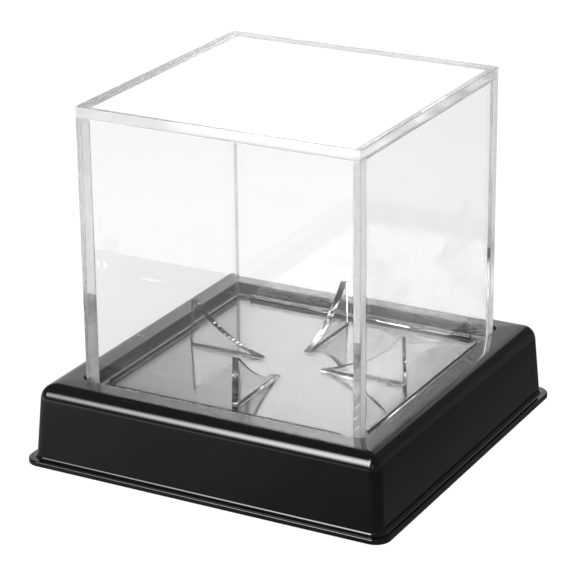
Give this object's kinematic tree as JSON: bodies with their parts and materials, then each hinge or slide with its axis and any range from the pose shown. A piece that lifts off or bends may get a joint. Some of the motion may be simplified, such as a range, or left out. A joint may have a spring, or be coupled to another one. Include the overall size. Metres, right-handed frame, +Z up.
{
  "type": "acrylic display cube",
  "caption": "Clear cube cover that lifts off a square black base with a clear cradle plate of four curved fins that holds a ball on show.",
  "frame": {"origin": "centre of the base's footprint, on the surface that the base stands on", "axes": "+Z up, the way the cover lifts; -Y out of the front panel, which covers the full width; +X out of the right panel"},
  "size_m": [0.108, 0.108, 0.0982],
  "materials": {
    "clear_acrylic": "polished",
    "clear_moulding": "polished",
    "black_plastic": "gloss"
  },
  "bodies": {
    "base": {"base_shell": "black_plastic", "cradle_plate": "clear_moulding", "cradle_fin_right": "clear_moulding", "cradle_fin_back": "clear_moulding", "cradle_fin_left": "clear_moulding", "cradle_fin_front": "clear_moulding"},
    "cover": {"top_panel": "clear_acrylic", "front_panel": "clear_acrylic", "back_panel": "clear_acrylic", "left_panel": "clear_acrylic", "right_panel": "clear_acrylic"}
  },
  "joints": [
    {"name": "cover_lift", "type": "slide", "parent": "base", "child": "cover", "axis": [0, 0, 1], "range_m": [0, 0.1]}
  ]
}
